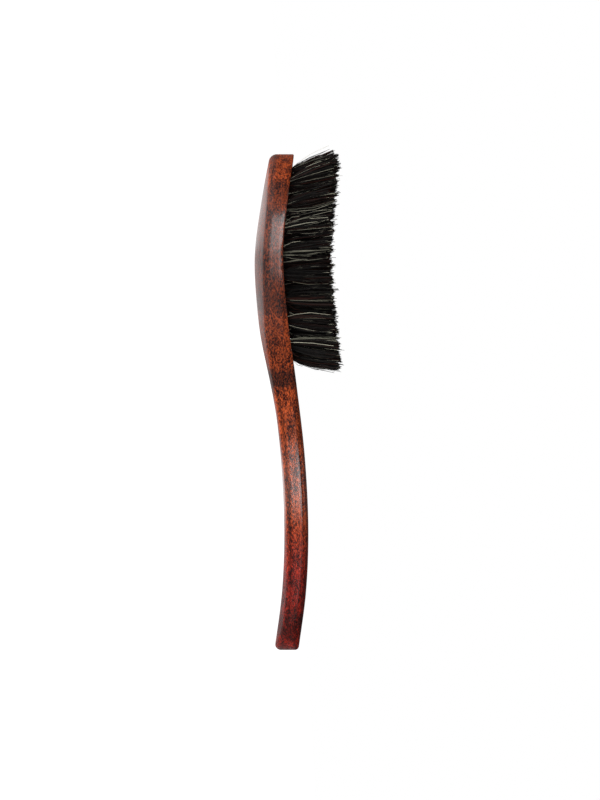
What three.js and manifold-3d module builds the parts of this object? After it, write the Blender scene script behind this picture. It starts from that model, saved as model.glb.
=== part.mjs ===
// Beard brush: one S-curved hardwood board, shaped as a paddle head on a bowed handle, and tufts of
// bristle, each set in its own blind hole in the head's hollow face.
//
// Board frame, in millimetres: x runs along the board from the handle's end to the head's tip, y runs
// across it, and z points from the back to the bristles. The finished brush is then laid on its back.
import * as THREE from "three";
import { mergeVertices } from "three/addons/utils/BufferGeometryUtils.js";
import Module from "manifold-3d";

// ---- Driving dimensions ---------------------------------------------------------------------------

const LENGTH = 216; // handle's end to head's tip

// Outline, seen from the front. The handle's places are distances from its end, and the head's are
// distances from its tip, so that a longer brush has a longer grip.
const HEAD_HALF_WIDTH = 22.5;
const HEAD_TIP_RUN = 45; // the tip is half an ellipse this long
const NECK_HALF_WIDTH = 10.6;
const NECK_FROM_TIP = 118; // where the head's taper has run out into the grip
const GRIP_START = 48; // the grip's sides are straight and flat from here to the neck
const BUTT_HALF_WIDTH = 13; // the handle flares a little towards its end
const BUTT_AT = 20;
const BUTT_RUN = 13; // the butt is half an ellipse this long

// Side profile: the height of the face line over the deepest point of the head's hollow.
const BUTT_RISE = 6.6;
const LOWER_GRIP_AT = 25;
const LOWER_GRIP_RISE = 9.85;
const BOW_AT = 51;
const BOW_RISE = 10.9;
const UPPER_GRIP_RISE = 9.4; // half way from the bow to the shoulder
const SHOULDER_FROM_TIP = 100;
const SHOULDER_RISE = 5.7;
const HEAD_START_FROM_TIP = 70;
const HEAD_START_RISE = 1.75;
const HOLLOW_FROM_TIP = 44;
const UPPER_HEAD_FROM_TIP = 22;
const UPPER_HEAD_RISE = 1.85;
const TIP_RISE = 4.6;

// Thickness of the board on its centre line.
const GRIP_THICKNESS = 10.5;
const HEAD_THICKNESS = 12.9;
const THICKEST_FROM_TIP = 74;
const TIP_THICKNESS = 10.4;

// Roundings.
const BACK_CROWN_RADIUS = 60; // the back is crowned from side to side on the head and neck
const BUTT_CROWN_RADIUS = 36; // and rounder towards the butt
const FACE_CROWN_RADIUS = 50; // the grip's front is crowned too, and the head's face is flat
const FACE_CROWN_FADE = 18; // the run over which that crown fades out, below the bristles
const EDGE_ROUNDING = 0.9;
const END_ROUNDING = 2.3; // the back's edge at the tip, and both edges at the butt

// Bristles.
const ROWS = 17; // from the neck to the tip
const FULL_ROW = 4; // tufts in every second row; the rows between have one fewer, set in its gaps
const FIRST_ROW_FROM_TIP = 87.6;
const LAST_ROW_FROM_TIP = 8.6;
const ROW_END_MARGIN = 4.2; // from a full row's outer tufts to the edge of the board
const HOLE_RADIUS = 2.2;
const HOLE_DEPTH = 7;
const SET_CLEARANCE = 0.3; // between a tuft and its hole, at the side and at the bottom
const BRISTLE_LENGTH = 20.3; // from the face to the trimmed ends
const TUFT_GAP = 0.6; // between the trimmed ends of the closest tufts
const NECK_LEAN = -8; // degrees that the first row leans towards the tip
const TIP_LEAN = 15; // and the last row
const SIDE_LEAN = 7; // degrees that a full row's outer tufts lean outwards

// How finely curves are cut into flats.
const BACK_FLATS = 9; // odd, so that the brush lies on a flat in the middle of its back
const FACE_FLATS = 5;
const END_STEPS = 7;
const TIP_STEPS = 14;
const STATION_STEP = 7;
const ROUND_SIDES = 8;

const SETTLING_PASSES = 20; // in which the brush is tipped until it lies level on its back

// Places worked out from these.
const NECK_AT = LENGTH - NECK_FROM_TIP;
const SHOULDER_AT = LENGTH - SHOULDER_FROM_TIP;
const THICKEST_AT = LENGTH - THICKEST_FROM_TIP;
const WIDEST_AT = LENGTH - HEAD_TIP_RUN;
const FIRST_ROW_AT = LENGTH - FIRST_ROW_FROM_TIP;
const LAST_ROW_AT = LENGTH - LAST_ROW_FROM_TIP;
const FACE_FLAT_FROM = FIRST_ROW_AT - 2 * HOLE_RADIUS;

// ---- Shape of the board, as functions of the distance x from the handle's end -----------------------

// A smooth curve through a list of [x, value] pairs.
function smoothThrough(pairs) {
  const spline = new THREE.CubicInterpolant(
    pairs.map(([x]) => x),
    pairs.map(([, value]) => value),
    1,
  );
  return (x) => spline.evaluate(THREE.MathUtils.clamp(x, 0, LENGTH))[0];
}

const faceHeight = smoothThrough([
  [0, BUTT_RISE],
  [LOWER_GRIP_AT, LOWER_GRIP_RISE],
  [BOW_AT, BOW_RISE],
  [(BOW_AT + SHOULDER_AT) / 2, UPPER_GRIP_RISE],
  [SHOULDER_AT, SHOULDER_RISE],
  [LENGTH - HEAD_START_FROM_TIP, HEAD_START_RISE],
  [LENGTH - HOLLOW_FROM_TIP, 0],
  [LENGTH - UPPER_HEAD_FROM_TIP, UPPER_HEAD_RISE],
  [LENGTH, TIP_RISE],
]);

function ellipseHeight(share) {
  return Math.sqrt(Math.max(0, 1 - share * share));
}

function halfWidth(x) {
  if (x > WIDEST_AT) return HEAD_HALF_WIDTH * ellipseHeight((x - WIDEST_AT) / HEAD_TIP_RUN);
  if (x > NECK_AT) {
    const share = (1 - Math.cos((Math.PI * (x - NECK_AT)) / (WIDEST_AT - NECK_AT))) / 2;
    return THREE.MathUtils.lerp(NECK_HALF_WIDTH, HEAD_HALF_WIDTH, share);
  }
  const flare = 1 - THREE.MathUtils.smoothstep(x, BUTT_AT, GRIP_START);
  const side = THREE.MathUtils.lerp(NECK_HALF_WIDTH, BUTT_HALF_WIDTH, flare);
  return x < BUTT_RUN ? side * ellipseHeight(1 - x / BUTT_RUN) : side;
}

function thickness(x) {
  if (x > THICKEST_AT) {
    const share = (x - THICKEST_AT) / THICKEST_FROM_TIP;
    return THREE.MathUtils.lerp(HEAD_THICKNESS, TIP_THICKNESS, share * share);
  }
  const share = THREE.MathUtils.smoothstep(x, NECK_AT, THICKEST_AT);
  return THREE.MathUtils.lerp(GRIP_THICKNESS, HEAD_THICKNESS, share);
}

// How far an edge rounded to a radius has fallen away at a distance from the end.
function roundedOff(distance, radius) {
  const within = Math.max(0, radius - distance);
  return radius - Math.sqrt(radius * radius - within * within);
}

// The board's section at x: its half width, and the heights of both surfaces in the middle and at the edge.
function sectionAt(x) {
  const half = halfWidth(x);
  const toButt = 1 - THREE.MathUtils.smoothstep(x, BUTT_AT, NECK_AT);
  const backRadius = THREE.MathUtils.lerp(BACK_CROWN_RADIUS, BUTT_CROWN_RADIUS, toButt);
  const faceCrowned = 1 - THREE.MathUtils.smoothstep(x, FACE_FLAT_FROM - FACE_CROWN_FADE, FACE_FLAT_FROM);
  const top = faceHeight(x) - roundedOff(x, END_ROUNDING);
  const bottom = faceHeight(x) - thickness(x) + roundedOff(Math.min(x, LENGTH - x), END_ROUNDING);
  return {
    half,
    top,
    topEdge: top - (faceCrowned * half * half) / (2 * FACE_CROWN_RADIUS),
    bottom,
    bottomEdge: bottom + (half * half) / (2 * backRadius),
  };
}

// The section as a closed loop of points, anticlockwise when seen from the head's tip.
function sectionLoop(x) {
  const { half, top, topEdge, bottom, bottomEdge } = sectionAt(x);
  const edge = Math.min(EDGE_ROUNDING, half / 2);
  const flat = half - edge;
  const loop = [];
  for (let i = 0; i <= BACK_FLATS; i++) {
    const across = (2 * i) / BACK_FLATS - 1;
    const height = THREE.MathUtils.lerp(bottom, bottomEdge, across * across);
    loop.push(new THREE.Vector3(x, across * flat, height));
  }
  loop.push(new THREE.Vector3(x, half, bottomEdge + edge));
  loop.push(new THREE.Vector3(x, half, topEdge - edge));
  for (let i = 0; i <= FACE_FLATS; i++) {
    const across = 1 - (2 * i) / FACE_FLATS;
    const height = THREE.MathUtils.lerp(top, topEdge, across * across);
    loop.push(new THREE.Vector3(x, across * flat, height));
  }
  loop.push(new THREE.Vector3(x, -half, topEdge - edge));
  loop.push(new THREE.Vector3(x, -half, bottomEdge + edge));
  return loop;
}

// Where the sections stand: close together round the two ends, and evenly between.
function stations() {
  const xs = [];
  for (let i = 0; i < END_STEPS; i++) {
    xs.push(BUTT_RUN * (1 - Math.cos((Math.PI * i) / (2 * END_STEPS))));
  }
  const even = Math.ceil((WIDEST_AT - BUTT_RUN) / STATION_STEP);
  for (let i = 0; i < even; i++) {
    xs.push(THREE.MathUtils.lerp(BUTT_RUN, WIDEST_AT, i / even));
  }
  for (let i = 0; i <= TIP_STEPS; i++) {
    xs.push(WIDEST_AT + HEAD_TIP_RUN * Math.sin((Math.PI * i) / (2 * TIP_STEPS)));
  }
  return xs;
}

// ---- Solids -----------------------------------------------------------------------------------------

const wasm = await Module();
wasm.setup();

function solidFrom(geometry) {
  const bare = geometry.clone();
  bare.deleteAttribute("normal");
  bare.deleteAttribute("uv");
  const merged = mergeVertices(bare, 1e-4);
  const corners = merged.index.array;
  const kept = [];
  for (let i = 0; i < corners.length; i += 3) {
    const [a, b, c] = corners.slice(i, i + 3);
    if (a !== b && b !== c && c !== a) kept.push(a, b, c);
  }
  return new wasm.Manifold(
    new wasm.Mesh({
      numProp: 3,
      vertProperties: merged.attributes.position.array,
      triVerts: new Uint32Array(kept),
    }),
  );
}

function geometryFrom(solid) {
  const { numProp, vertProperties, triVerts } = solid.getMesh();
  const points = new Float32Array((vertProperties.length / numProp) * 3);
  for (let i = 0; i < points.length / 3; i++) {
    points.set(vertProperties.subarray(i * numProp, i * numProp + 3), i * 3);
  }
  return new THREE.BufferGeometry()
    .setAttribute("position", new THREE.BufferAttribute(points, 3))
    .setIndex(new THREE.BufferAttribute(triVerts, 1));
}

// A skin over the loops, whose first and last loops have no width and so close it.
function loft(loops) {
  const count = loops[0].length;
  const index = [];
  for (let i = 0; i + 1 < loops.length; i++) {
    for (let j = 0; j < count; j++) {
      const a = i * count + j;
      const b = i * count + ((j + 1) % count);
      index.push(a, b, a + count, b, b + count, a + count);
    }
  }
  return new THREE.BufferGeometry().setFromPoints(loops.flat()).setIndex(index);
}

// ---- Tufts ------------------------------------------------------------------------------------------

// Every tuft's name, its mouth in the face, and the way it points.
function tuftPlaces() {
  const places = [];
  for (let row = 0; row < ROWS; row++) {
    const share = row / (ROWS - 1);
    const x = THREE.MathUtils.lerp(FIRST_ROW_AT, LAST_ROW_AT, share);
    const lean = THREE.MathUtils.degToRad(THREE.MathUtils.lerp(NECK_LEAN, TIP_LEAN, share));
    const count = row % 2 === 1 ? FULL_ROW : FULL_ROW - 1;
    for (let column = 0; column < count; column++) {
      const out = (2 * column - (count - 1)) / (FULL_ROW - 1);
      const sideLean = THREE.MathUtils.degToRad(SIDE_LEAN * out);
      places.push({
        name: `tuft_row${String(row + 1).padStart(2, "0")}_${column + 1}`,
        mouth: new THREE.Vector3(x, out * (halfWidth(x) - ROW_END_MARGIN), faceHeight(x)),
        direction: new THREE.Vector3(Math.tan(lean), Math.tan(sideLean), 1).normalize(),
      });
    }
  }
  return places;
}

// How far apart the trimmed ends of two tufts stand, measured square to the way they point.
function endsApart(one, other) {
  const [end, otherEnd] = [one, other].map(({ mouth, direction }) =>
    mouth.clone().addScaledVector(direction, BRISTLE_LENGTH),
  );
  return end.sub(otherEnd).projectOnPlane(one.direction.clone().add(other.direction)).length();
}

// The tufts widen until the closest trimmed ends are TUFT_GAP apart.
function tuftEndRadius(places) {
  const apart = places.flatMap((place, i) => places.slice(i + 1).map((other) => endsApart(place, other)));
  return (Math.min(...apart) - TUFT_GAP) / 2;
}

// Turns a solid of revolution about +y, which starts at its origin, along a tuft's direction.
function alongTuft(object, { mouth, direction }, depth) {
  object.quaternion.setFromUnitVectors(new THREE.Vector3(0, 1, 0), direction);
  object.position.copy(mouth).addScaledVector(direction, -depth);
  return object;
}

function makeBody(places) {
  let solid = solidFrom(loft(stations().map(sectionLoop)));
  const reach = HOLE_DEPTH + BRISTLE_LENGTH / 2;
  for (const place of places) {
    const drill = new THREE.Mesh(
      new THREE.CylinderGeometry(HOLE_RADIUS, HOLE_RADIUS, reach, ROUND_SIDES).translate(0, reach / 2, 0),
    );
    alongTuft(drill, place, HOLE_DEPTH).updateMatrix();
    solid = solid.subtract(solidFrom(drill.geometry.applyMatrix4(drill.matrix)));
  }
  const body = new THREE.Mesh(geometryFrom(solid), stainedWood);
  body.name = "wood_body";
  return body;
}

function makeTuft(place, endRadius) {
  const root = HOLE_DEPTH - SET_CLEARANCE;
  const rootRadius = HOLE_RADIUS - SET_CLEARANCE;
  const outline = [
    [0, 0],
    [rootRadius, 0],
    [rootRadius, root],
    [endRadius, root + BRISTLE_LENGTH],
    [0, root + BRISTLE_LENGTH],
  ].map(([radius, height]) => new THREE.Vector2(radius, height));
  const tuft = new THREE.Mesh(new THREE.LatheGeometry(outline, ROUND_SIDES), bristle);
  tuft.name = place.name;
  return alongTuft(tuft, place, root);
}

// ---- Materials --------------------------------------------------------------------------------------

const stainedWood = new THREE.MeshStandardMaterial({ color: 0x6e2a18, roughness: 0.42, metalness: 0 });
const bristle = new THREE.MeshStandardMaterial({ color: 0x16120f, roughness: 0.55, metalness: 0 });

// ---- Assembly ---------------------------------------------------------------------------------------

// The angle that brings the lowest point of the head and the lowest point of the handle level, so that
// the brush lies on its back on both.
function restTilt() {
  const crown = (x) => new THREE.Vector2(x, sectionAt(x).bottom);
  const xs = stations();
  let tilt = 0;
  const height = (point) => point.y * Math.cos(tilt) - point.x * Math.sin(tilt);
  const lowest = (points) => points.reduce((low, point) => (height(point) < height(low) ? point : low));
  for (let pass = 0; pass < SETTLING_PASSES; pass++) {
    const head = lowest(xs.filter((x) => x > NECK_AT).map(crown));
    const handle = lowest(xs.filter((x) => x <= NECK_AT).map(crown));
    tilt = Math.atan2(head.y - handle.y, head.x - handle.x);
  }
  return tilt;
}

const places = tuftPlaces();
const endRadius = tuftEndRadius(places);
const board = new THREE.Group();
board.add(makeBody(places), ...places.map((place) => makeTuft(place, endRadius)));
board.rotation.y = restTilt();

const brush = new THREE.Group();
brush.add(board);
brush.updateMatrixWorld(true);
const bounds = new THREE.Box3().setFromObject(brush, true);
const centre = bounds.getCenter(new THREE.Vector3());
board.position.set(-centre.x, -centre.y, -bounds.min.z);

export default brush;
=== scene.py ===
import math
import random
from bisect import bisect_right

import bmesh
import bpy
import numpy as np
from mathutils import Matrix, Vector, kdtree


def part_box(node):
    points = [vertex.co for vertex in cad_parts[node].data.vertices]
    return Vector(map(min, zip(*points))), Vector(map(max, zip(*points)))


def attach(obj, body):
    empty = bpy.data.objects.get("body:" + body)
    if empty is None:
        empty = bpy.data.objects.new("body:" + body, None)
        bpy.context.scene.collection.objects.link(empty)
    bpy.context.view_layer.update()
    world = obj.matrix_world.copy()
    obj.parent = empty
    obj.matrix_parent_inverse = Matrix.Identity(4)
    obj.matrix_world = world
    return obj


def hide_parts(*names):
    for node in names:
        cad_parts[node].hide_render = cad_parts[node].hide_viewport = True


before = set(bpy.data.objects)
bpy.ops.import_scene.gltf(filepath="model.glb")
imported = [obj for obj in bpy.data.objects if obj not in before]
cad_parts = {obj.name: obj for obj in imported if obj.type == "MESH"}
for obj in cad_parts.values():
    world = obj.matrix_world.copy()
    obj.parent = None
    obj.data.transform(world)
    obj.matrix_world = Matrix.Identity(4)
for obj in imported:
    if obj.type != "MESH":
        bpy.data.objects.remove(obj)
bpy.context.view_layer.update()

# ---- The board, in metres ---------------------------------------------------------------------------
# Its own frame: x from the handle's end to the head's tip, y across, z from the back to the bristles. The
# brush lies on its back, so the finished board is tipped and set down where its solid lies.

LENGTH = 0.216

HEAD_HALF_WIDTH = 0.0225
HEAD_TIP_RUN = 0.045
NECK_HALF_WIDTH = 0.0106
NECK_AT = LENGTH - 0.118
GRIP_START = 0.048
BUTT_HALF_WIDTH = 0.013
BUTT_AT = 0.020
BUTT_RUN = 0.013
WIDEST_AT = LENGTH - HEAD_TIP_RUN

BOW_AT = 0.051
SHOULDER_AT = LENGTH - 0.100
FACE_LINE = [  # places along the board, and heights over the deepest point of the head's hollow
    (0.0, 0.0066),
    (0.025, 0.00985),
    (BOW_AT, 0.0109),
    ((BOW_AT + SHOULDER_AT) / 2, 0.0094),
    (SHOULDER_AT, 0.0057),
    (LENGTH - 0.070, 0.00175),
    (LENGTH - 0.044, 0.0),
    (LENGTH - 0.022, 0.00185),
    (LENGTH, 0.0046),
]

GRIP_THICKNESS = 0.0105
HEAD_THICKNESS = 0.0129
THICKEST_AT = LENGTH - 0.074
TIP_THICKNESS = 0.0104

BACK_CROWN_RADIUS = 0.060
BUTT_CROWN_RADIUS = 0.036
FACE_CROWN_RADIUS = 0.050
FACE_FLAT_FROM = LENGTH - 0.092
FACE_CROWN_FADE = 0.018

BACK_EDGE_RADIUS = 0.0014  # sanded edges: softer on the back and round the grip, crisper round the face
FACE_EDGE_RADIUS = 0.0006
GRIP_EDGE_RADIUS = 0.0016
END_EDGE_RADIUS = 0.0028  # the back's edge at both ends, and how far along the board it fades
END_EDGE_FADE = 0.012
SHARP_FROM = math.radians(40)  # edges that turn more than this are shaded crisp

HOLE_RADIUS = 0.0022
HOLE_DEPTH = 0.0070
SET_CLEARANCE = 0.0003  # left under a tuft
COUNTERSINK = 0.00025

BRISTLE_LENGTH = 0.0203  # from the face to the trimmed ends

OUTLINE_STEPS = 6000
CROWN_STEPS = 1000
SETTLING_PASSES = 20  # each turns the board closer to lying on its two lowest points
SLOPE_STEP = 1e-5
WELD = 1e-7
CUT_WELD = 1e-6  # wider, for the slivers that drilling leaves

EDGE_SHADE_BESIDE_EDGE = 0.4  # of the painted edge shade on the edge itself


def mix(a, b, share):
    return a + (b - a) * share


def smooth_step(x, low, high):
    share = min(max((x - low) / (high - low), 0.0), 1.0)
    return share * share * (3 - 2 * share)


def smooth_through(pairs):
    """A smooth curve through (x, value) pairs, whose slope at each is the mean of the slopes beside it."""
    xs, values = zip(*pairs)
    slopes = [(values[i + 1] - values[i]) / (xs[i + 1] - xs[i]) for i in range(len(xs) - 1)]
    tangents = [slopes[0], *((a + b) / 2 for a, b in zip(slopes, slopes[1:])), slopes[-1]]

    def curve(x):
        i = min(max(bisect_right(xs, x) - 1, 0), len(xs) - 2)
        step = xs[i + 1] - xs[i]
        t = (x - xs[i]) / step
        return (
            (2 * t**3 - 3 * t**2 + 1) * values[i]
            + (t**3 - 2 * t**2 + t) * step * tangents[i]
            + (3 * t**2 - 2 * t**3) * values[i + 1]
            + (t**3 - t**2) * step * tangents[i + 1]
        )

    return curve


face_height = smooth_through(FACE_LINE)


def ellipse_height(share):
    """How high a unit circle stands at this share of its radius from its middle."""
    return math.sqrt(max(0.0, 1 - share * share))


def half_width(x):
    """Half the board's width: an oval head, a waist at the neck, and a handle flared to a round butt."""
    if x > WIDEST_AT:
        return HEAD_HALF_WIDTH * ellipse_height((x - WIDEST_AT) / HEAD_TIP_RUN)
    if x > NECK_AT:
        share = (1 - math.cos(math.pi * (x - NECK_AT) / (WIDEST_AT - NECK_AT))) / 2
        return mix(NECK_HALF_WIDTH, HEAD_HALF_WIDTH, share)
    side = mix(BUTT_HALF_WIDTH, NECK_HALF_WIDTH, smooth_step(x, BUTT_AT, GRIP_START))
    return side * ellipse_height(1 - x / BUTT_RUN) if x < BUTT_RUN else side


def thickness(x):
    if x > THICKEST_AT:
        share = (x - THICKEST_AT) / (LENGTH - THICKEST_AT)
        return mix(HEAD_THICKNESS, TIP_THICKNESS, share * share)
    return mix(GRIP_THICKNESS, HEAD_THICKNESS, smooth_step(x, NECK_AT, THICKEST_AT))


def rounded_off(distance, radius):
    """How far an edge of this radius has fallen away at a distance from the outline."""
    within = max(0.0, radius - distance)
    return radius - math.sqrt(max(0.0, radius * radius - within * within))


def edge_radii(x):
    """The radii of the back's and the face's edges at x."""
    near_end = 1 - smooth_step(min(x, LENGTH - x), 0.0, END_EDGE_FADE)
    on_grip = 1 - smooth_step(x, NECK_AT, FACE_FLAT_FROM)
    back = mix(mix(BACK_EDGE_RADIUS, GRIP_EDGE_RADIUS, on_grip), END_EDGE_RADIUS, near_end)
    face = mix(FACE_EDGE_RADIUS, GRIP_EDGE_RADIUS, on_grip)
    return back, face


def outline_tree():
    """The board's outline, seen from the front, for measuring how far a point lies inside it."""
    tree = kdtree.KDTree(OUTLINE_STEPS + 1)
    for i in range(OUTLINE_STEPS + 1):
        x = LENGTH * (1 - math.cos(math.pi * i / OUTLINE_STEPS)) / 2
        tree.insert((x, half_width(x), 0.0), i)
    tree.balance()
    return tree


outline = outline_tree()


def back_and_face(x, y):
    """The heights of the back and the face at a point of the board, edges rounded."""
    inside = outline.find((x, abs(y), 0.0))[2]
    back_edge, face_edge = edge_radii(x)
    back_radius = mix(BUTT_CROWN_RADIUS, BACK_CROWN_RADIUS, smooth_step(x, BUTT_AT, NECK_AT))
    face_crowned = 1 - smooth_step(x, FACE_FLAT_FROM - FACE_CROWN_FADE, FACE_FLAT_FROM)
    back = face_height(x) - thickness(x) + y * y / (2 * back_radius) + rounded_off(inside, back_edge)
    face = face_height(x) - face_crowned * y * y / (2 * FACE_CROWN_RADIUS) - rounded_off(inside, face_edge)
    return back, face


def section_pattern():
    """One turn round a section, as (surface, share of the flat, share of the edge's quarter turn) or
    ("side", which side, share of the way from the back to the face)."""
    flats, turns, sides = 22, 5, 4
    sweep = [(-1.0, 1 - i / turns) for i in range(turns)]
    sweep += [(2 * i / flats - 1, 0.0) for i in range(flats + 1)]
    sweep += [(1.0, (i + 1) / turns) for i in range(turns)]
    loop = [("back", flat, turn) for flat, turn in sweep]
    loop += [("side", 1.0, i / sides) for i in range(1, sides)]
    loop += [("face", flat, turn) for flat, turn in reversed(sweep)]
    loop += [("side", -1.0, 1 - i / sides) for i in range(1, sides)]
    return loop


def painted_edge_shade(x, surface, flat, turn):
    """How much painted shade darkens this point, from 0 to 1. The rounded edges of the back, and of the face
    on the grip, are painted dark where they turn from the lamps; the face's edge on the head is left
    unshaded."""
    if surface == "side":
        return 0.0
    edge_shaded = turn
    if turn == 0:
        edge_shaded = EDGE_SHADE_BESIDE_EDGE if abs(flat) == 1 else 0.0
    face_on_grip = 1 - smooth_step(x, NECK_AT, FACE_FLAT_FROM)
    return edge_shaded * (1.0 if surface == "back" else face_on_grip)


def section_point(x, surface, flat, turn):
    """The point of the section at x that a step of the pattern stands for."""
    half = half_width(x)
    if surface == "side":
        back, face = back_and_face(x, half)
        return Vector((x, flat * half, mix(back, face, turn)))
    ahead, behind = min(x + SLOPE_STEP, LENGTH), max(x - SLOPE_STEP, 0.0)
    slope = (half_width(ahead) - half_width(behind)) / (2 * SLOPE_STEP)
    radius = edge_radii(x)[0 if surface == "back" else 1] * math.hypot(1, slope)
    edge = min(radius, half)
    y = flat * (half - edge) + math.copysign(edge * math.sin(turn * math.pi / 2), flat) * (turn > 0)
    back, face = back_and_face(x, y)
    return Vector((x, y, back if surface == "back" else face))


def board_stations():
    """Places of the sections: crowded round the two ends, and about a millimetre apart between."""
    butt, tip, even = 26, 44, 0.0011
    xs = [BUTT_RUN * (1 - math.cos(math.pi * i / (2 * butt))) for i in range(butt)]
    steps = math.ceil((WIDEST_AT - BUTT_RUN) / even)
    xs += [mix(BUTT_RUN, WIDEST_AT, i / steps) for i in range(steps)]
    return xs + [WIDEST_AT + HEAD_TIP_RUN * math.sin(math.pi * i / (2 * tip)) for i in range(tip + 1)]


def rest_matrix():
    """Tips the board until the head's and the handle's lowest points are level, and sets it down."""
    xs = [LENGTH * i / CROWN_STEPS for i in range(CROWN_STEPS + 1)]
    crown = [(x, back_and_face(x, 0.0)[0]) for x in xs]
    tilt = 0.0

    def height(point):
        return point[1] * math.cos(tilt) - point[0] * math.sin(tilt)

    for _ in range(SETTLING_PASSES):
        head = min((p for p in crown if p[0] > NECK_AT), key=height)
        handle = min((p for p in crown if p[0] <= NECK_AT), key=height)
        tilt = math.atan2(head[1] - handle[1], head[0] - handle[0])
    turn = Matrix.Rotation(tilt, 4, "Y")
    ends = [turn @ Vector((x, 0.0, z)) for x in (0.0, LENGTH) for z in back_and_face(x, 0.0)]
    low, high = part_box("wood_body")
    centre_x = (min(p.x for p in ends) + max(p.x for p in ends)) / 2
    lowest = min((turn @ Vector((x, 0.0, z))).z for x, z in crown)
    return Matrix.Translation(((low.x + high.x) / 2 - centre_x, 0.0, low.z - lowest)) @ turn


def new_object(name, bm, *materials):
    mesh = bpy.data.meshes.new(name)
    bm.to_mesh(mesh)
    bm.free()
    for material in materials:
        mesh.materials.append(material)
    piece = bpy.data.objects.new(name, mesh)
    bpy.context.scene.collection.objects.link(piece)
    return piece


# ---- The tufts' places, read from their solids --------------------------------------------------------

FOOT_TOLERANCE = 1e-5  # corners no further than this from the lowest one, along a tuft, are its foot


def tuft_axis(node):
    """The foot of a tuft, the middle of its mouth in the face, and the way it points."""
    points = np.array([v.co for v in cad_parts[node].data.vertices], float)
    along = np.linalg.svd(points - points.mean(0), full_matrices=False)[2][0]
    along *= np.sign(along[2])
    reach = points @ along
    foot = points[reach < reach.min() + FOOT_TOLERANCE]
    foot = Vector((foot.min(0) + foot.max(0)) / 2)
    direction = Vector(along).normalized()
    return foot, foot + direction * (HOLE_DEPTH - SET_CLEARANCE), direction


tuft_nodes = sorted(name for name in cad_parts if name.startswith("tuft_"))
tuft_axes = {node: tuft_axis(node) for node in tuft_nodes}


def upright(place, direction):
    """A matrix that carries a shape standing on the origin along +Z to a place and a direction."""
    return Matrix.Translation(place) @ direction.to_track_quat("Z", "Y").to_matrix().to_4x4()


# ---- Wood ---------------------------------------------------------------------------------------------

DRILL_SIDES = 28


def make_drills():
    """A drill for each hole, all in one object: a hole's outline, countersunk, spun into a solid."""
    brim, above = HOLE_RADIUS + 2 * COUNTERSINK, BRISTLE_LENGTH / 4  # well clear of the face
    profile = [
        (0.0, -HOLE_DEPTH),
        (HOLE_RADIUS, -HOLE_DEPTH),
        (HOLE_RADIUS, -COUNTERSINK),
        (brim, COUNTERSINK),
        (brim, above),
        (0.0, above),
    ]
    spin = {"axis": (0, 0, 1), "cent": (0, 0, 0), "angle": math.tau, "steps": DRILL_SIDES, "use_merge": True}
    half_side = Matrix.Rotation(math.pi / DRILL_SIDES, 4, "Z")  # keeps edges off the board's middle line
    drills = bmesh.new()
    for _, mouth, direction in tuft_axes.values():
        verts = [drills.verts.new((r, 0.0, z)) for r, z in profile]
        edges = [drills.edges.new(pair) for pair in zip(verts, verts[1:])]
        bmesh.ops.spin(drills, geom=verts + edges, **spin)
        fresh = [v for v in drills.verts if not v.tag]
        bmesh.ops.transform(drills, matrix=upright(mouth, direction) @ half_side, verts=fresh)
        for v in fresh:
            v.tag = True
    bmesh.ops.remove_doubles(drills, verts=drills.verts, dist=WELD)
    bmesh.ops.recalc_face_normals(drills, faces=drills.faces)
    return new_object("drills", drills)


def drill_holes(board):
    """Cuts the blind holes, their mouths lightly countersunk, out of the board."""
    drills = make_drills()
    cut = board.modifiers.new("holes", "BOOLEAN")
    cut.operation = "DIFFERENCE"
    cut.solver = "EXACT"
    cut.object = drills
    bpy.context.view_layer.update()
    drilled = bpy.data.meshes.new_from_object(board.evaluated_get(bpy.context.evaluated_depsgraph_get()))
    board.modifiers.clear()
    cleaned = bmesh.new()
    cleaned.from_mesh(drilled)
    bmesh.ops.remove_doubles(cleaned, verts=cleaned.verts, dist=CUT_WELD)
    bmesh.ops.triangulate(cleaned, faces=[f for f in cleaned.faces if len(f.verts) > 4])
    bmesh.ops.dissolve_degenerate(cleaned, edges=cleaned.edges, dist=CUT_WELD)
    cleaned.to_mesh(drilled)
    cleaned.free()
    board.data = drilled
    bpy.data.objects.remove(drills)


def make_board(material):
    """The one-piece head and handle: a sheet wrapped round the sections, closed at both ends."""
    xs = board_stations()
    pattern = section_pattern()
    columns, turns = len(xs) - 1, len(pattern)
    bm = bmesh.new()
    bmesh.ops.create_grid(bm, x_segments=columns, y_segments=turns, size=1.0)
    # painted shade: each point keeps how dark its rounded edge is painted, for the wood's colour
    edge_shade_of = bm.verts.layers.float.new("edge_shade")
    for v in bm.verts:
        station = round((v.co.x + 1) / 2 * columns)
        step = round((v.co.y + 1) / 2 * turns) % turns
        v.co = section_point(xs[station], *pattern[step])
        v[edge_shade_of] = painted_edge_shade(xs[station], *pattern[step])
    bmesh.ops.remove_doubles(bm, verts=bm.verts, dist=WELD)
    bmesh.ops.dissolve_degenerate(bm, edges=bm.edges, dist=WELD)
    bmesh.ops.transform(bm, matrix=rest_matrix(), verts=bm.verts)
    bmesh.ops.recalc_face_normals(bm, faces=bm.faces)
    board = new_object("lacquered_board", bm, material)
    drill_holes(board)
    board.data.shade_smooth()
    board.data.set_sharp_from_angle(angle=SHARP_FROM)
    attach(board, "root")
    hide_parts("wood_body")


# ---- Bristles and staples -----------------------------------------------------------------------------

STRANDS = 160  # in a tuft
STRAND_SIDES = 3
LOCKS = 16  # that a tuft's strands gather in
JOINTS = 4  # of a strand above its root, the first in the hole's mouth
JOINT_CROWDING = 1.5  # over 1, the joints crowd towards the mouth

ROOT_REACH = 0.0015  # from the tuft's axis to its outer strands: at the roots, in the mouth and at the ends
MOUTH_REACH = 0.0021
END_REACH = 0.0044

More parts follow.
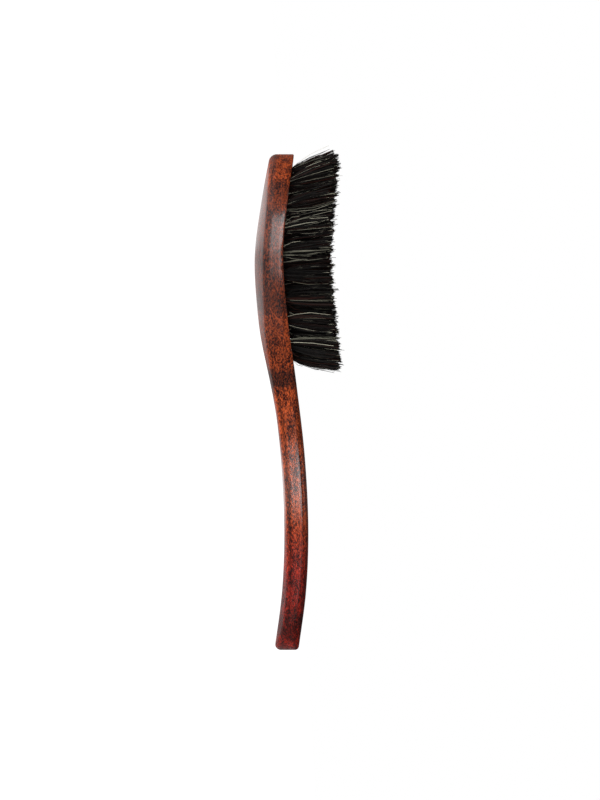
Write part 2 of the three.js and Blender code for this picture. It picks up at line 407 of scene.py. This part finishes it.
LOCK_SWAY = 0.0006  # how far, by standard deviation, a lock leans off its place, and rises over the others
LOCK_RISE = 0.0007
GATHERED = 0.62  # of the way from a strand's own place to its lock's
END_WANDER = 0.00018  # by standard deviation, sideways
STRAY_WANDER = 0.0014
TRIM_ERROR = 0.0004  # the same, along the bristles
STRAY_TRIM_ERROR = 0.0009
BEND = 0.0004  # the same, for how far a strand's middle bows
OUTWARD_BEND = 0.0009  # of the outermost strands

STRAY_BELOW = 0.07  # of a draw from 0 to 1, which makes a strand stray, or short, or neither
SHORT_ABOVE = 0.93
SHORT_LENGTHS = (0.12, 0.50)  # of a whole strand's, over the face

STRAND_RADII = (0.00010, 0.00017)
PALE_THINNING = 0.7
END_TAPER = 0.8  # of a strand's radius, at its end

BROWN_FROM = 0.78  # of another draw from 0 to 1, above which a hair is brown, then blond or grey
BROWN_FADE = 0.04
BLOND_FROM = 0.91
BLOND_FADE = 0.005

STAPLE_WIDTH = 0.0034
STAPLE_HEIGHT = 0.0011
STAPLE_WIRE = 0.0005


def somewhere(draw):
    """A place drawn evenly from inside the unit circle."""
    spread, angle = math.sqrt(draw.random()), draw.uniform(0, math.tau)
    return Vector((math.cos(angle), math.sin(angle), 0.0)) * spread


def draw_lock(draw):
    """A lock's place in the tuft, and how far it sways and rises."""
    place = somewhere(draw)
    return place, Vector((draw.gauss(0, LOCK_SWAY), draw.gauss(0, LOCK_SWAY), draw.gauss(0, LOCK_RISE)))


def draw_strand(draw, locks):
    """One hair of a tuft that stands on the origin, along +Z."""
    across = somewhere(draw)
    lock, sway = min(locks, key=lambda made: (made[0] - across).length)
    kind = draw.random()
    stray, short = kind < STRAY_BELOW, kind > SHORT_ABOVE
    shade, pale = draw.random(), draw.random()
    gathered, wander = (0.0, STRAY_WANDER) if stray or short else (GATHERED, END_WANDER)
    mouth_height = HOLE_DEPTH - SET_CLEARANCE
    end = across.lerp(lock, gathered) * END_REACH + sway
    end += Vector((draw.gauss(0, wander), draw.gauss(0, wander), 0.0))
    end.z += mouth_height + BRISTLE_LENGTH * (draw.uniform(*SHORT_LENGTHS) if short else 1.0)
    lost_by_leaning = end.xy.length_squared / (2 * BRISTLE_LENGTH)
    end.z += draw.gauss(0.0, STRAY_TRIM_ERROR if stray else TRIM_ERROR) - lost_by_leaning
    return {
        "root": across * ROOT_REACH,
        "mouth": across * MOUTH_REACH + Vector((0, 0, mouth_height)),
        "end": end,
        "bend": Vector((draw.gauss(0, BEND), draw.gauss(0, BEND), 0.0)) + across * OUTWARD_BEND,
        "radius": draw.uniform(*STRAND_RADII) * (PALE_THINNING if pale > BLOND_FROM else 1.0),
        "tone": (shade, pale),
    }


def strand_centre(strand, joint):
    """The middle of a strand at a joint: its root, then places on an arc from the mouth to its end."""
    if joint == 0:
        return strand["root"]
    t = ((joint - 1) / (JOINTS - 1)) ** JOINT_CROWDING
    return strand["mouth"].lerp(strand["end"], t) + strand["bend"] * (4 * t * (1 - t))


def make_tuft(node, material):
    """A folded bundle of bristles: slim three-sided hairs, in locks that fan out to ragged points."""
    foot, _, direction = tuft_axes[node]
    draw = random.Random(node)
    locks = [draw_lock(draw) for _ in range(LOCKS)]
    strands = [draw_strand(draw, locks) for _ in range(STRANDS)]
    bm = bmesh.new()
    strand_of = bm.verts.layers.int.new("strand")
    corner_of = bm.verts.layers.int.new("corner")
    tone_of = bm.verts.layers.float_color.new("hair")
    for index in range(STRANDS):
        ring = bmesh.ops.create_circle(bm, cap_ends=True, segments=STRAND_SIDES, radius=1.0)["verts"]
        for corner, v in enumerate(ring):
            v[strand_of] = index
            v[corner_of] = corner

    def place(verts, joint):
        for v in verts:
            strand = strands[v[strand_of]]
            turn = math.tau * v[corner_of] / STRAND_SIDES + v[strand_of]
            radius = strand["radius"] * (END_TAPER if joint == JOINTS else 1.0)
            corner_place = Vector((math.cos(turn), math.sin(turn), 0.0)) * radius
            v.co = strand_centre(strand, joint) + corner_place
            v[tone_of] = (*strand["tone"], joint / JOINTS, 1.0)

    place(bm.verts, 0)
    edges = list(bm.edges)
    for joint in range(1, JOINTS + 1):
        grown = bmesh.ops.extrude_edge_only(bm, edges=edges)["geom"]
        place([g for g in grown if isinstance(g, bmesh.types.BMVert)], joint)
        edges = [g for g in grown if isinstance(g, bmesh.types.BMEdge) and len(g.link_faces) == 1]
    bmesh.ops.holes_fill(bm, edges=edges, sides=STRAND_SIDES)
    bmesh.ops.transform(bm, matrix=upright(foot, direction), verts=bm.verts)
    bmesh.ops.recalc_face_normals(bm, faces=bm.faces)
    tuft = new_object(node.replace("tuft", "bristles"), bm, material)
    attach(tuft, "root")
    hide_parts(node)


def make_staples(material):
    """The flat wire staples that hold the folded bristles down, one at the foot of each tuft."""
    rounding = {"offset": STAPLE_WIRE / 4, "segments": 2, "profile": 0.5, "affect": "EDGES", "material": -1}
    bm = bmesh.new()
    for foot, _, direction in tuft_axes.values():
        made = bmesh.ops.create_cube(bm, size=1.0)["verts"]
        bmesh.ops.scale(bm, vec=(STAPLE_WIDTH, STAPLE_WIRE, STAPLE_HEIGHT), verts=made)
        bmesh.ops.translate(bm, vec=(0, 0, STAPLE_HEIGHT / 2), verts=made)
        edges = list({e for v in made for e in v.link_edges})
        rounded = bmesh.ops.bevel(bm, geom=edges, **rounding)["verts"]
        kept = {v for v in made if v.is_valid} | set(rounded)
        bmesh.ops.transform(bm, matrix=upright(foot, direction), verts=list(kept))
    staples = new_object("anchor_staples", bm, material)
    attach(staples, "root")


# ---- Node helpers -----------------------------------------------------------------------------------


def mask_group(name, *masks):
    """An empty shader group that takes a place and puts out masks, and its two ends."""
    group = bpy.data.node_groups.new(name, "ShaderNodeTree")
    group.interface.new_socket("Place", in_out="INPUT", socket_type="NodeSocketVector")
    for mask in masks:
        group.interface.new_socket(mask, in_out="OUTPUT", socket_type="NodeSocketFloat")
    return group, group.nodes.new("NodeGroupInput"), group.nodes.new("NodeGroupOutput")


def add(tree, kind, links=(), **settings):
    """A node with its settings, and its inputs linked or set: links maps a socket to an output or value."""
    node = tree.nodes.new(kind)
    for name, value in settings.items():
        setattr(node, name, value)
    for socket, source in dict(links).items():
        if isinstance(source, bpy.types.NodeSocket):
            tree.links.new(source, node.inputs[socket])
        else:
            node.inputs[socket].default_value = source
    return node


def maths(tree, operation, a, b=0.0):
    return add(tree, "ShaderNodeMath", {0: a, 1: b}, operation=operation).outputs[0]


def ranged(tree, value, low, high, to_low=0.0, to_high=1.0):
    """value carried smoothly from low..high to to_low..to_high, and held there."""
    links = {"Value": value, "From Min": low, "From Max": high, "To Min": to_low, "To Max": to_high}
    return add(tree, "ShaderNodeMapRange", links, interpolation_type="SMOOTHSTEP").outputs["Result"]


def blended(tree, share, a, b):
    """A colour that goes from a to b as the share goes from 0 to 1."""
    node = add(tree, "ShaderNodeMix", data_type="RGBA")
    for socket, source in zip((node.inputs[0], node.inputs[6], node.inputs[7]), (share, a, b)):
        if isinstance(source, bpy.types.NodeSocket):
            tree.links.new(source, socket)
        else:
            socket.default_value = source
    return node.outputs[2]


def noise(tree, vector, scale=1.0, detail=2.0, roughness=0.5, distortion=0.0):
    links = {"Vector": vector, "Scale": scale, "Detail": detail, "Roughness": roughness}
    links["Distortion"] = distortion
    return add(tree, "ShaderNodeTexNoise", links).outputs["Fac"]


def stretched(tree, vector, along, across):
    """Coordinates scaled along X, and across it both ways, for a pattern that runs with the grain."""
    return add(tree, "ShaderNodeMapping", {"Vector": vector, "Scale": (along, across, across)}).outputs[0]


def object_place(tree):
    return tree.nodes.new("ShaderNodeTexCoord").outputs["Object"]


def new_material(name):
    """A material, its node tree and its shader."""
    material = bpy.data.materials.new(name)
    material.use_nodes = True
    return material, material.node_tree, material.node_tree.nodes["Principled BSDF"]


def summed(tree, *shares):
    """The sum of (value, weight) pairs."""
    total = maths(tree, "MULTIPLY", *shares[0])
    for value, weight in shares[1:]:
        total = maths(tree, "ADD", total, maths(tree, "MULTIPLY", value, weight))
    return total


# ---- The wood's finish --------------------------------------------------------------------------------

ORANGE_STAIN = (0.780, 0.130, 0.030, 1.0)  # over most of the board, where the stain is thin
RED_STAIN = (0.045, 0.003, 0.002, 1.0)  # and where it has gathered
ROSE_STAIN = (0.620, 0.034, 0.017, 1.0)  # the same two, at the handle's end
CRIMSON_STAIN = (0.055, 0.003, 0.002, 1.0)
CHARCOAL = (0.010, 0.003, 0.003, 1.0)

CHERRY_FROM = 0.30  # as a share of the length, where the handle starts to turn cherry, and where it has
CHERRY_FULL = 0.14
BAND_WAVER = 0.020  # for the noise's whole range

SCORCHED_BANDS = [  # place along the board as a share of its length, half its breadth, and how black
    (0.055, 0.0050, 0.80),
    (0.120, 0.0070, 0.40),
    (0.430, 0.0030, 0.35),
    (0.551, 0.0050, 0.90),
    (0.640, 0.0130, 0.45),
    (0.702, 0.0045, 0.85),
    (0.775, 0.0150, 0.72),
    (0.855, 0.0170, 0.60),
    (0.918, 0.0040, 0.60),
]
GLOSSY_STRETCHES = [  # the same, for where the lacquer lies thick and bright
    (0.335, 0.0125, 1.00),
    (0.800, 0.0360, 0.45),
    (0.870, 0.0165, 1.00),
]
SCORCH_FADE = 0.0022
GLOSS_FADE = 0.010

CLOUD_WEIGHT = 0.28  # what brightens the stain: broad clouds, fine flecks and long fibres
FLECK_WEIGHT = 0.46
FIBRE_WEIGHT = 0.26
PORE_DARKNESS = 0.7
# how dark the painted shade on the rounded edges goes
EDGE_SHADE_DARKNESS = 0.65
FLECKS_IN_SCORCH = 0.85  # how black a bright fleck goes in a scorched band, to a dark one's 1

THIN_LACQUER = 0.08
THICK_LACQUER = 0.92  # over the thin
LACQUER_ROUGHNESS = 0.18
LACQUER_IOR = 1.5
WOOD_SPECULAR = 0.12
GRAIN_RELIEF = 0.0006


def grain_group():
    """Wood fibres along X: masks of long light and dark fibres, of fine flecks and of short open pores."""
    group, start, end = mask_group("wood_grain", "Fibre", "Flecks", "Pores")
    place = start.outputs["Place"]
    broad = noise(group, stretched(group, place, 60, 620), detail=4.0, roughness=0.6, distortion=0.4)
    fine = noise(group, stretched(group, place, 260, 2300), detail=3.0, roughness=0.6)
    flecks = noise(group, stretched(group, place, 950, 2700), detail=2.0, roughness=0.6)
    short = noise(group, stretched(group, place, 520, 1500), detail=3.0, roughness=0.65)
    group.links.new(summed(group, (broad, 0.55), (fine, 0.45)), end.inputs["Fibre"])
    group.links.new(ranged(group, flecks, 0.43, 0.57), end.inputs["Flecks"])
    group.links.new(ranged(group, short, 0.52, 0.64), end.inputs["Pores"])
    return group


def bands_mask(tree, x, bands, fade):
    """A mask of bands across the board, each fading out over this distance either side of its two edges."""
    mask = 0.0
    low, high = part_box("wood_body")
    for share, half, strength in bands:
        away = maths(tree, "ABSOLUTE", maths(tree, "SUBTRACT", x, mix(low.x, high.x, share)))
        mask = maths(tree, "MAXIMUM", ranged(tree, away, half - fade, half + fade, strength, 0.0), mask)
    return mask


def finish_group():
    """By place along X, where the flame scorched, the lacquer lies thick and the stain turns to cherry."""
    group, start, end = mask_group("flame_and_lacquer", "Scorch", "Gloss", "Cherry")
    place = start.outputs["Place"]
    waver = noise(group, stretched(group, place, 45, 160), detail=3.0, roughness=0.6)
    x = add(group, "ShaderNodeSeparateXYZ", {"Vector": place}).outputs["X"]
    moved = maths(group, "MULTIPLY", maths(group, "SUBTRACT", waver, 0.5), BAND_WAVER)
    x = maths(group, "ADD", x, moved)
    low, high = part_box("wood_body")
    cherry = ranged(group, x, mix(low.x, high.x, CHERRY_FROM), mix(low.x, high.x, CHERRY_FULL))
    group.links.new(bands_mask(group, x, SCORCHED_BANDS, SCORCH_FADE), end.inputs["Scorch"])
    group.links.new(bands_mask(group, x, GLOSSY_STRETCHES, GLOSS_FADE), end.inputs["Gloss"])
    group.links.new(cherry, end.inputs["Cherry"])
    return group


def stain_colour(tree, place, fibre, flecks, cherry):
    """Red stain, cloudy, fibrous and flecked, from thin and orange to gathered and dark."""
    cloud = noise(tree, stretched(tree, place, 110, 260), detail=3.0, roughness=0.6)
    warmth = summed(tree, (ranged(tree, cloud, 0.38, 0.60), CLOUD_WEIGHT), (flecks, FLECK_WEIGHT))
    warmth = maths(tree, "ADD", warmth, ranged(tree, fibre, 0.40, 0.60, 0.0, FIBRE_WEIGHT))
    bright = blended(tree, cherry, ORANGE_STAIN, ROSE_STAIN)
    deep = blended(tree, cherry, RED_STAIN, CRIMSON_STAIN)
    return blended(tree, ranged(tree, warmth, 0.15, 0.82), deep, bright)


def blackened(tree, colour, flecks, pores, scorch):
    """The colour with its pores and its scorched bands gone black, and painted shade darkening its rounded
    edges.
    """
    pored = blended(tree, maths(tree, "MULTIPLY", pores, PORE_DARKNESS), colour, CHARCOAL)
    edge_shade = add(tree, "ShaderNodeAttribute", attribute_name="edge_shade").outputs["Fac"]
    # painted shade on the rounded edges, joined to the scorched bands and mottled like them
    scorch = maths(tree, "MAXIMUM", scorch, ranged(tree, edge_shade, 0.3, 1.0, 0.0, EDGE_SHADE_DARKNESS))
    mottled = maths(tree, "MULTIPLY", scorch, ranged(tree, flecks, 0.0, 1.0, 1.0, FLECKS_IN_SCORCH))
    return blended(tree, mottled, pored, CHARCOAL)


def grain_normal(tree, place, fibre, flecks, pores):
    """Raised fibres and flecks, sunken pores, and the fine orange peel of the lacquer."""
    orange_peel = noise(tree, place, scale=1500.0, detail=3.0, roughness=0.7)
    relief = summed(tree, (fibre, 0.5), (pores, -0.35), (orange_peel, 0.5), (flecks, 0.25))
    bump = add(tree, "ShaderNodeBump", {"Strength": 1.0, "Distance": GRAIN_RELIEF, "Height": relief})
    return bump.outputs["Normal"]


def stained_wood():
    """Red-stained, scorched hardwood under a semi-gloss lacquer that has sunk a little into the pores."""
    material, tree, shader = new_material("scorched_red_wood")
    place = object_place(tree)
    grain = add(tree, "ShaderNodeGroup", node_tree=grain_group())
    finish = add(tree, "ShaderNodeGroup", node_tree=finish_group())
    tree.links.new(place, grain.inputs["Place"])
    tree.links.new(place, finish.inputs["Place"])
    fibre, flecks, pores = (grain.outputs[mask] for mask in ("Fibre", "Flecks", "Pores"))
    scorch, gloss, cherry = (finish.outputs[mask] for mask in ("Scorch", "Gloss", "Cherry"))
    colour = blackened(tree, stain_colour(tree, place, fibre, flecks, cherry), flecks, pores, scorch)
    lacquer = maths(tree, "ADD", maths(tree, "MULTIPLY", gloss, THICK_LACQUER), THIN_LACQUER)
    tree.links.new(colour, shader.inputs["Base Color"])
    tree.links.new(ranged(tree, fibre, 0.3, 0.7, 0.36, 0.50), shader.inputs["Roughness"])
    tree.links.new(grain_normal(tree, place, fibre, flecks, pores), shader.inputs["Normal"])
    tree.links.new(lacquer, shader.inputs["Coat Weight"])
    shader.inputs["Specular IOR Level"].default_value = WOOD_SPECULAR
    shader.inputs["Coat Roughness"].default_value = LACQUER_ROUGHNESS
    shader.inputs["Coat IOR"].default_value = LACQUER_IOR
    return material


# ---- Hair and wire ------------------------------------------------------------------------------------

JET_HAIR = (0.0010, 0.0009, 0.0009, 1.0)
SOOTY_HAIR = (0.0060, 0.0045, 0.0040, 1.0)
BROWN_HAIR = (0.035, 0.009, 0.006, 1.0)
GREY_HAIR = (0.20, 0.20, 0.15, 1.0)
BLOND_HAIR = (0.85, 0.82, 0.64, 1.0)
DUSTY_HAIR = (0.05, 0.04, 0.035, 1.0)
HAIR_SPECULAR = 0.12

DULL_STEEL = (0.30, 0.28, 0.25, 1.0)
BRIGHT_STEEL = (0.55, 0.54, 0.52, 1.0)


def bristle_hair():
    """Natural boar bristle: black and brown hairs and a few blond and grey, dustier towards their ends."""
    material, tree, shader = new_material("boar_bristle")
    hair = add(tree, "ShaderNodeAttribute", attribute_name="hair")
    shade, pale, along = add(tree, "ShaderNodeSeparateColor", {"Color": hair.outputs["Color"]}).outputs
    dark = blended(tree, shade, JET_HAIR, SOOTY_HAIR)
    brown = blended(tree, ranged(tree, pale, BROWN_FROM, BROWN_FROM + BROWN_FADE), dark, BROWN_HAIR)
    blond = blended(tree, shade, GREY_HAIR, BLOND_HAIR)
    colour = blended(tree, ranged(tree, pale, BLOND_FROM, BLOND_FROM + BLOND_FADE), brown, blond)
    flecked = noise(tree, object_place(tree), scale=900.0)
    dust = maths(tree, "MULTIPLY", ranged(tree, flecked, 0.4, 0.7, 0.0, 0.20), along)
    tree.links.new(blended(tree, dust, colour, DUSTY_HAIR), shader.inputs["Base Color"])
    tree.links.new(ranged(tree, flecked, 0.3, 0.7, 0.34, 0.52), shader.inputs["Roughness"])
    shader.inputs["Specular IOR Level"].default_value = HAIR_SPECULAR
    return material


def drawn_steel():
    """Bright wire, drawn lengthways and slightly tarnished."""
    material, tree, shader = new_material("staple_wire")
    drawn = noise(tree, stretched(tree, object_place(tree), 900, 9000), detail=3.0)
    colour = blended(tree, ranged(tree, drawn, 0.35, 0.65), DULL_STEEL, BRIGHT_STEEL)
    tree.links.new(colour, shader.inputs["Base Color"])
    tree.links.new(ranged(tree, drawn, 0.3, 0.7, 0.25, 0.45), shader.inputs["Roughness"])
    shader.inputs["Metallic"].default_value = 1.0
    return material


# ---- Studio -------------------------------------------------------------------------------------------

WHITE = (1.0, 1.0, 1.0, 1.0)
FLOOR_GREY = (0.8, 0.8, 0.8, 1.0)
FLOOR_HALF_WIDTH = 6.0
FLOOR_GLOW = 0.7  # onto the brush, as the next is
ROOM_GLOW = 0.04

LENS = 0.150
SENSOR = 0.036
SHARE_OF_HEIGHT = 0.6195  # of the picture's, that the board takes up
AIM = Vector((0.1089, 0.0, 0.00724))  # the picture's middle, in the board's frame
BRUSH_MIDDLE = (0.0, 0.0, 0.02)


def seen_or_lighting(tree, lighting):
    """Full strength to the eye, and another strength to what it lights."""
    seen = tree.nodes.new("ShaderNodeLightPath").outputs["Is Camera Ray"]
    return ranged(tree, seen, 0.0, 1.0, lighting, 1.0)


def make_floor():
    """A floor that looks as white as the backdrop, and lights the brush from below."""
    bm = bmesh.new()
    bmesh.ops.create_grid(bm, x_segments=1, y_segments=1, size=FLOOR_HALF_WIDTH)
    material, tree, shader = new_material("studio_floor")
    shader.inputs["Base Color"].default_value = FLOOR_GREY
    shader.inputs["Roughness"].default_value = 0.8
    shader.inputs["Specular IOR Level"].default_value = 0.1
    shader.inputs["Emission Color"].default_value = WHITE
    tree.links.new(seen_or_lighting(tree, FLOOR_GLOW), shader.inputs["Emission Strength"])
    new_object("floor", bm, material)


def make_world():
    """A white backdrop to the eye, and a dim room to everything that it lights."""
    world = bpy.data.worlds.new("studio")
    world.use_nodes = True
    background = world.node_tree.nodes["Background"]
    background.inputs["Color"].default_value = WHITE
    strength = seen_or_lighting(world.node_tree, ROOM_GLOW)
    world.node_tree.links.new(strength, background.inputs["Strength"])
    bpy.context.scene.world = world


def make_softbox(name, place, width, height, watts):
    """A rectangular lamp that faces the brush."""
    light = bpy.data.lights.new(name, "AREA")
    light.shape = "RECTANGLE"
    light.size, light.size_y = width, height
    light.energy = watts
    lamp = bpy.data.objects.new(name, light)
    lamp.location = place
    lamp.rotation_euler = (Vector(BRUSH_MIDDLE) - Vector(place)).to_track_quat("-Z", "Y").to_euler()
    bpy.context.scene.collection.objects.link(lamp)


def make_camera(to_rest):
    """Looks square at the board's side from +Y, with the head at the top and the bristles to the right."""
    data = bpy.data.cameras.new("camera")
    data.lens = LENS * 1000
    data.sensor_width = SENSOR * 1000
    data.clip_end = 20.0
    camera = bpy.data.objects.new("camera", data)
    up = (to_rest.to_3x3() @ Vector((1, 0, 0))).normalized()
    right = (to_rest.to_3x3() @ Vector((0, 0, 1))).normalized()
    back = right.cross(up)
    distance = LENGTH * LENS / (SENSOR * SHARE_OF_HEIGHT)
    turned = Matrix((right, up, back)).transposed().to_4x4()
    camera.matrix_world = Matrix.Translation(to_rest @ AIM + back * distance) @ turned
    bpy.context.scene.collection.objects.link(camera)
    bpy.context.scene.camera = camera


# ---- The brush ----------------------------------------------------------------------------------------

make_board(stained_wood())
hair = bristle_hair()
for node in tuft_nodes:
    make_tuft(node, hair)
make_staples(drawn_steel())

make_floor()
make_world()
make_softbox("front_softbox", (0.32, 1.7, 0.15), width=1.1, height=0.8, watts=17.0)
make_softbox("top_softbox", (0.0, 0.2, 1.4), width=1.6, height=1.2, watts=4.0)
make_camera(rest_matrix())
bpy.context.scene.view_settings.view_transform = "Standard"
